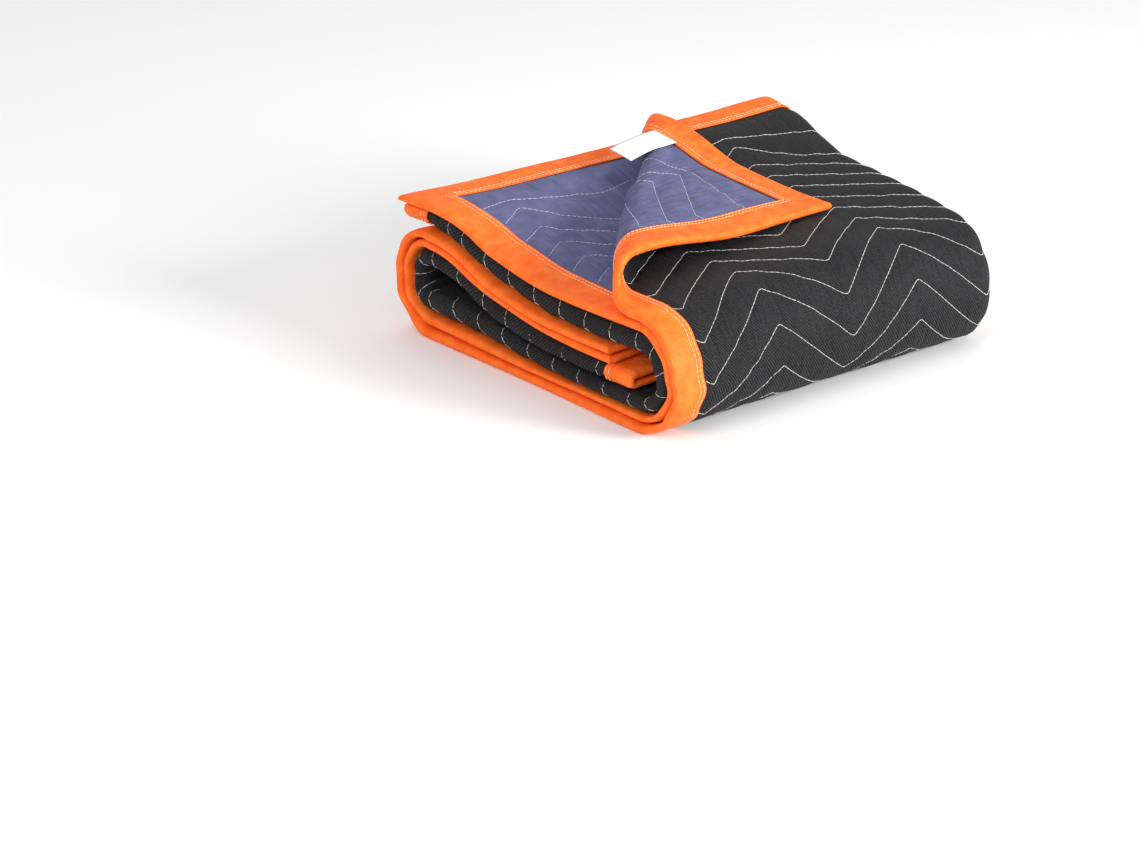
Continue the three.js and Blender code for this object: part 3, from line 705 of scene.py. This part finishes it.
def quilting_lines():
    near = FAR_FOLD_X + FAR_ARC + STRAIGHT
    inset = BAND + 2.0
    lines = []
    for k in range(2, int((SHEET_LENGTH - FULL) // SEAM_PITCH) + 1):
        row = k * SEAM_PITCH
        parts = [(inset, FAR_FOLD_X + FAR_ARC + 8, 1), (near - 12, near + NEAR_ARC + 12, 1)]
        if row < FLAP_W + 60:
            parts += [(inset, FLAP_X + 20, -1), (LAST_QUARTER + 60, SHEET_WIDTH - inset, -1)]
        for start, end, side in parts:
            u, v = row_line(row, start, end)
            keep = (v > inset) & (v < SHEET_LENGTH - inset)
            stitch_size = FACE_STITCH if side > 0 else LINING_STITCH
            lines.append((u[keep], v[keep], at_row(row, side), *stitch_size))
    return lines


quilting_thread = sew("quilting_thread", quilting_lines(), QUILTING_THICK, 0.0)


# %% Rows of the binding
BINDING_STITCH, BINDING_THICK = (4.0, 1.0), 0.8
BINDING_LIFT, BINDING_SUNK = 0.15, 0.1
BINDING_ROWS = (BAND - 3.0, BAND - 8.0)  # each row's distance in from the edge
ALONG_EDGE = {
    # a point of the flat pad as its distance along the edge and in from it
    "tape_top_edge": lambda u, v: (u, v),
    "tape_rolled_in_edge": lambda u, v: (u, SHEET_LENGTH - v),
    "tape_first_edge": lambda u, v: (v, u),
    "tape_second_edge": lambda u, v: (v, SHEET_WIDTH - u),
}


def on_tape(name, side, seed):
    along_edge = ALONG_EDGE[name]
    return lambda u, v: side * (HALF + BINDING_LIFT + pucker(*along_edge(u, v), seed))


def binding_lines():
    lines = []
    for name, (length, place, seed) in EDGES.items():
        for inset in BINDING_ROWS:
            for side in (1, -1):
                s = np.arange(inset, length - inset, 3.0)
                u, v = place(s, np.full_like(s, inset))
                lines.append((u, v, on_tape(name, side, seed), *BINDING_STITCH))
    return lines


binding_thread = sew("binding_thread", binding_lines(), BINDING_THICK, BINDING_SUNK)

# %% [markdown]
# ## The label
# A bare white woven label is sewn in at the binding's inner edge, on the lining, where the corner
# turns. It is stiffer than the cloth, so it stands off nearly straight, arches a little and droops
# at its free end.

# %% Label
LABEL_FROM, LABEL_TO, LABEL_START, LABEL_LENGTH = 214.0, 248.0, BAND + 1.0, 66.0
LABEL_THICK, LABEL_LIFT, LABEL_ARCH, LABEL_DROOP = 0.7, 0.6, 1.2, 5.0


def label_frame():
    u = (LABEL_FROM + LABEL_TO) / 2
    root, ahead, one, two = (
        on_pad(a, b, -HALF)
        for a, b in (
            (u, LABEL_START),
            (u, LABEL_START + LABEL_LENGTH / 5),
            (LABEL_FROM, LABEL_START),
            (LABEL_TO, LABEL_START),
        )
    )
    ahead, across = (d / np.linalg.norm(d) for d in (ahead - root, two - one))
    up = np.cross(across, ahead)
    up /= np.linalg.norm(up)
    return root, ahead, across, up if up[2] > 0 else -up


def make_label():
    root, ahead, across, up = label_frame()
    far = np.linspace(0, LABEL_LENGTH, 23)
    side = np.linspace(-0.5, 0.5, 13) * (LABEL_TO - LABEL_FROM)
    a, b = np.meshgrid(far, side, indexing="ij")
    arch = LABEL_ARCH * np.sin(np.pi * a / LABEL_LENGTH)
    droop = LABEL_DROOP * (a / LABEL_LENGTH) ** 2
    bend = LABEL_LIFT + arch + 0.5 * ripple(a, b, (50.0, 34.0), 9) - droop
    layers, flats = [], []
    for lift in (LABEL_THICK, 0.0):
        high = bend + lift
        point = root + (a[..., None] * ahead + b[..., None] * across + high[..., None] * up) / 1000
        layers.append(point.reshape(-1, 3))
        flats.append(np.stack([b, a, high], -1).reshape(-1, 3))
    points, flat = np.concatenate(layers), np.concatenate(flats)
    return sewn_mesh("sewn_label", points, sheet_faces(*a.shape), flat)


sewn_label = make_label()
print("label", len(sewn_label.data.polygons), "faces")


# %% [markdown]
# ## Materials
# Each material starts from the real cloth. The helper adds one node with its settings and links,
# and colours are written as sRGB hex and made linear by one function.

# %% Helpers for materials
def linear(code):
    parts = [int(code[k : k + 2], 16) / 255 for k in (1, 3, 5)]
    return [c / 12.92 if c <= 0.04045 else ((c + 0.055) / 1.055) ** 2.4 for c in parts] + [1.0]


def add_node(material, kind, settings=None, **inputs):
    """One node: settings are its own properties, inputs are values or (node, output) links."""
    tree = material.node_tree
    node = tree.nodes.new(kind)
    for key, value in (settings or {}).items():
        setattr(node, key, value)
    for key, value in inputs.items():
        numbered = key[0] == "i" and key[1:].isdigit()
        socket = node.inputs[int(key[1:]) if numbered else key.replace("_", " ")]
        if isinstance(value, tuple) and hasattr(value[0], "outputs"):
            tree.links.new(value[0].outputs[value[1]], socket)
        else:
            socket.default_value = value
    return node


def new_material(name, roughness, sheen, sheen_colour="#ffffff"):
    material = bpy.data.materials.new(name)
    material.use_nodes = True
    shader = material.node_tree.nodes["Principled BSDF"]
    shader.inputs["Roughness"].default_value = roughness
    shader.inputs["Specular IOR Level"].default_value = 0.2
    shader.inputs["Sheen Weight"].default_value = sheen
    shader.inputs["Sheen Roughness"].default_value = 0.5
    shader.inputs["Sheen Tint"].default_value = linear(sheen_colour)
    return material, shader


def colour_ramp(material, value, stops):
    ramp = add_node(material, "ShaderNodeValToRGB", Fac=value)
    elements = ramp.color_ramp.elements
    while len(elements) < len(stops):
        elements.new(0.5)
    for element, (at, code) in zip(elements, stops):
        element.position = at
        element.color = linear(code)
    return ramp


# %% Helpers for weaves, folds and bumps
def stored(material, name):
    """The place of each point on the flat pad, in mm, that sewn_mesh stored."""
    return add_node(material, "ShaderNodeAttribute", {"attribute_name": name})


def stretched(material, place, scale):
    return add_node(material, "ShaderNodeMapping", Vector=(place, "Vector"), Scale=scale)


def noise(material, place, scale, detail):
    return add_node(
        material, "ShaderNodeTexNoise", Vector=(place, "Vector"), Scale=scale, Detail=detail
    )


def ribbing(material, place, pitch_mm, distortion, direction="X", **more):
    """Ribs a pitch apart: Blender's wave texture repeats every pi / 10 units at scale 1."""
    return add_node(
        material, "ShaderNodeTexWave", {"bands_direction": direction},
        Vector=(place, "Vector"), Scale=math.pi / 10 / pitch_mm, Distortion=distortion, **more,
    )


def add_up(material, value, share, base):
    """A share of one value on top of another."""
    return add_node(
        material, "ShaderNodeMath", {"operation": "MULTIPLY_ADD"}, i0=value, i1=share, i2=base
    )


def bump(material, height, strength, metres, below=None):
    under = {"Normal": (below, "Normal")} if below else {}
    return add_node(
        material, "ShaderNodeBump",
        Height=(height, "Fac"), Strength=strength, Distance=metres, **under,
    )


def finish_shader(material, shader, ramp, top_bump=None):
    links = material.node_tree.links
    links.new(ramp.outputs["Color"], shader.inputs["Base Color"])
    if top_bump:
        links.new(top_bump.outputs["Normal"], shader.inputs["Normal"])
    return material


# %% [markdown]
# The face is a charcoal polyester twill. Its floats catch the light as fine diagonal ribs with
# pale flecks, and where it bends over the curl a faint sheen turns it grey. The ribs are drawn
# 2.6 mm apart, coarser than real ones, so that they show.

# %% Charcoal polyester twill
def make_twill():
    material, shader = new_material("charcoal_polyester_twill", 0.7, 0.03, "#9a9aa0")
    flat, quilt = stored(material, "flat_mm"), stored(material, "quilt_mm")
    diagonal = add_node(
        material, "ShaderNodeMapping", Vector=(flat, "Vector"), Rotation=(0, 0, math.radians(38))
    )
    ribs = ribbing(material, diagonal, 2.6, 0.6, Detail=1.0)
    fleck, cloud = noise(material, flat, 0.55, 3.0), noise(material, flat, 0.018, 4.0)
    mixed = add_node(
        material, "ShaderNodeMath", {"operation": "MULTIPLY"}, i0=(ribs, "Fac"), i1=(fleck, "Fac")
    )
    tone = add_up(material, (cloud, "Fac"), 0.25, (mixed, "Value"))
    stops = [(0.12, "#0e0e0f"), (0.45, "#1c1b1d"), (0.8, "#39383b")]
    ramp = colour_ramp(material, (tone, "Value"), stops)
    crease = noise(material, stretched(material, quilt, (0.15, 0.024, 0.1)), 1.0, 4.0)
    creased = bump(material, crease, 1.0, 0.004)
    ribbed = bump(material, ribs, 0.8, 0.0008, below=creased)
    return finish_shader(material, shader, ramp, ribbed)


twill = make_twill()
print(twill.name, len(twill.node_tree.nodes), "nodes")

# %% [markdown]
# The lining is a soft, slightly brushed plain cloth in slate blue. It has no shine, only a faint
# mottle and the fine gathers that the quilting pulls into it.

# %% Slate-blue brushed cotton
def make_lining():
    material, shader = new_material("slate_blue_brushed_cotton", 0.92, 0.06, "#b9bbd8")
    flat, quilt = stored(material, "flat_mm"), stored(material, "quilt_mm")
    mottle, nap = noise(material, flat, 0.05, 6.0), noise(material, flat, 0.9, 2.0)
    tone = add_up(material, (nap, "Fac"), 0.35, (mottle, "Fac"))
    stops = [(0.4, "#4f5175"), (0.68, "#5a5c80"), (0.95, "#67698d")]
    ramp = colour_ramp(material, (tone, "Value"), stops)
    crease = noise(material, stretched(material, quilt, (0.13, 0.028, 0.1)), 1.0, 4.0)
    creased = bump(material, crease, 1.0, 0.0036)
    brushed = bump(material, nap, 0.4, 0.0003, below=creased)
    return finish_shader(material, shader, ramp, brushed)


brushed_cotton = make_lining()
print(brushed_cotton.name, len(brushed_cotton.node_tree.nodes), "nodes")

# %% [markdown]
# The binding is a woven polyester tape in bright orange, smoother than the cloths. Fine ribs cross
# it, its colour is a little uneven, and a shallow bump gathers it between the stitches.

# %% Orange woven polyester tape
def make_tape():
    material, shader = new_material("orange_woven_polyester_tape", 0.62, 0.02, "#ffc79c")
    flat = stored(material, "flat_mm")
    ribs = ribbing(material, flat, 1.3, 0.4, Detail=1.0)
    cloud = noise(material, flat, 0.06, 5.0)
    tone = add_up(material, (ribs, "Fac"), 0.12, (cloud, "Fac"))
    stops = [(0.3, "#ec5a14"), (0.6, "#f86e20"), (0.85, "#fc8036")]
    ramp = colour_ramp(material, (tone, "Value"), stops)
    gather = noise(material, stretched(material, flat, (0.22, 0.05, 0.1)), 1.0, 2.0)
    gathered = bump(material, gather, 0.7, 0.0014)
    ribbed = bump(material, ribs, 0.3, 0.0002, below=gathered)
    return finish_shader(material, shader, ramp, ribbed)


woven_tape = make_tape()
print(woven_tape.name, len(woven_tape.node_tree.nodes), "nodes")

# %% [markdown]
# Both threads are spun polyester: pale grey for the quilting and light peach for the binding. A
# thread is too thin to show its twist here, so a soft noise varies its brightness instead. The
# label is a smooth white satin with faint ribs.

# %% Threads and label
def make_thread(name, dark, light):
    material, shader = new_material(name, 0.6, 0.3)
    spun = noise(material, stored(material, "flat_mm"), 0.12, 2.0)
    ramp = colour_ramp(material, (spun, "Fac"), [(0.3, dark), (0.7, light)])
    return finish_shader(material, shader, ramp)


def make_satin():
    material, shader = new_material("white_woven_satin_label", 0.45, 0.1)
    ribs = ribbing(material, stored(material, "flat_mm"), 1.1, 0.3, "Y")
    ramp = colour_ramp(material, (ribs, "Fac"), [(0.0, "#dddddb"), (1.0, "#ebebe9")])
    return finish_shader(material, shader, ramp, bump(material, ribs, 0.25, 0.0002))


finishes = {
    "face_cloth": twill,
    "lining_cloth": brushed_cotton,
    "binding_tape": woven_tape,
    "quilting": make_thread("pale_grey_spun_polyester_thread", "#aaa8a6", "#d6d4d1"),
    "binding": make_thread("peach_spun_polyester_thread", "#ffae7a", "#ffd0ac"),
    "label_tape": make_satin(),
}
print("materials", [m.name for m in finishes.values()])

# %% [markdown]
# ## The floor and the light
# The floor is plain and pale, and large soft lights stand round it as in a studio: a low one in
# front on the right, which brings out the curl, a weaker one on the left, a faint one above and
# behind, and a bright even surround.

# %% Floor and lights
LIT_POINT = Vector((0, 0, 0.08))
bpy.ops.object.select_all(action="DESELECT")
bpy.ops.mesh.primitive_plane_add(size=14.0, location=(0, 0, 0))
floor = bpy.context.object
floor.name = "floor"
floor_paint, floor_shader = new_material("matt_white_floor_paint", 0.9, 0.0)
floor_shader.inputs["Base Color"].default_value = linear("#f3f3f3")
floor.data.materials.append(floor_paint)


def soft_light(name, place, size, watts):
    light = bpy.data.lights.new(name, "AREA")
    light.shape = "DISK"
    light.size, light.energy = size, watts
    lamp = bpy.data.objects.new(name, light)
    lamp.location = place
    lamp.rotation_mode = "QUATERNION"
    lamp.rotation_quaternion = (LIT_POINT - Vector(place)).to_track_quat("-Z", "Y")
    bpy.context.scene.collection.objects.link(lamp)


soft_light("key_light", (1.0, -2.5, 1.0), 1.2, 110.0)
soft_light("left_light", (-2.3, -0.9, 1.5), 1.5, 34.0)
soft_light("top_light", (0.2, 1.0, 2.6), 1.6, 14.0)
surround = bpy.data.worlds.new("bright_surround")
surround.use_nodes = True
background = surround.node_tree.nodes["Background"]
background.inputs["Color"].default_value = (1, 1, 1, 1)
background.inputs["Strength"].default_value = 0.56
bpy.context.scene.world = surround
bpy.context.scene.view_settings.view_transform = "Standard"

# %% [markdown]
# ## Fitting the pieces to the frame
# Every piece gets its material, rides on the model's one body and takes the place of its CAD
# solid.

# %% Finish each piece and set it on the body
STANDS_FOR = {
    face_cloth: ("face_panel", "face_cloth", "face_cloth"),
    lining_cloth: ("lining_panel", "lining_cloth", "lining_cloth"),
    tapes["tape_top_edge"]: ("binding_top_edge", "binding_tape", "binding_tape"),
    tapes["tape_rolled_in_edge"]: ("binding_rolled_in_edge", "binding_tape", "binding_tape"),
    tapes["tape_first_edge"]: ("binding_first_edge", "binding_tape", "binding_tape"),
    tapes["tape_second_edge"]: ("binding_second_edge", "binding_tape", "binding_tape"),
    sewn_label: ("label", "label_tape", "label_tape"),
    quilting_thread: (None, "label_tape", "quilting"),
    binding_thread: (None, "binding_tape", "binding"),
}
for piece, (node, slot, finish) in STANDS_FOR.items():
    piece.data.materials.append(finishes[finish])
    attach(piece, "root")
    if node:
        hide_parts(node)

print("declared", len(STANDS_FOR), "pieces")

# %% Update the view layer and finish
bpy.context.view_layer.update()
